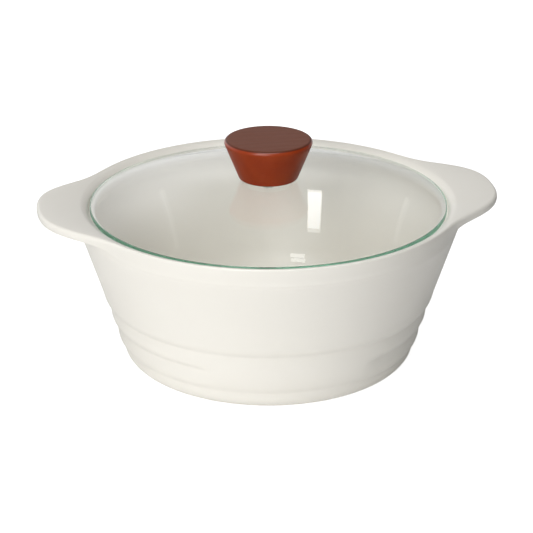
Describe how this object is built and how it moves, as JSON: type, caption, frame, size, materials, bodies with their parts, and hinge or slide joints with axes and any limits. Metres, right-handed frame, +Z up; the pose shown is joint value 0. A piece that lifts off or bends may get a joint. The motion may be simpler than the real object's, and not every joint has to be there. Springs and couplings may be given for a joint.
{
  "type": "soup pot",
  "caption": "Round glazed porcelain soup pot with ear handles and a hooped lower wall, covered by a lift-off domed glass lid with a turned wooden knob, for simmering and serving.",
  "frame": {"origin": "centre of the foot ring on the plane the pot stands on", "axes": "+Z up along the pot's axis, +X through the middle of the ear handles"},
  "size_m": [0.2576, 0.2146, 0.1276],
  "materials": {
    "porcelain": "off-white satin glaze, bare clay on the foot ring",
    "lid_glass": "clear tempered glass with a green ground edge",
    "knob_wood": "red-brown lacquer, satin",
    "brass": "machined",
    "silicone": "translucent matt silicone",
    "stainless": "plain stainless"
  },
  "bodies": {
    "pot": {"pot_body": "porcelain"},
    "lid_carrier": {"screw_washer": "stainless"},
    "lid": {"lid_glass": "lid_glass", "lid_knob": "knob_wood", "knob_insert": "brass", "knob_gasket": "silicone", "hole_grommet": "silicone", "knob_screw": "stainless"}
  },
  "joints": [
    {"name": "lid_lift", "type": "slide", "parent": "pot", "child": "lid_carrier", "axis": [0, 0, 1], "range_m": [0, 0.072]},
    {"name": "lid_spin", "type": "hinge", "parent": "lid_carrier", "child": "lid", "pos_m": [0, 0, 0.0985], "axis": [0, 0, 1], "continuous": true}
  ]
}
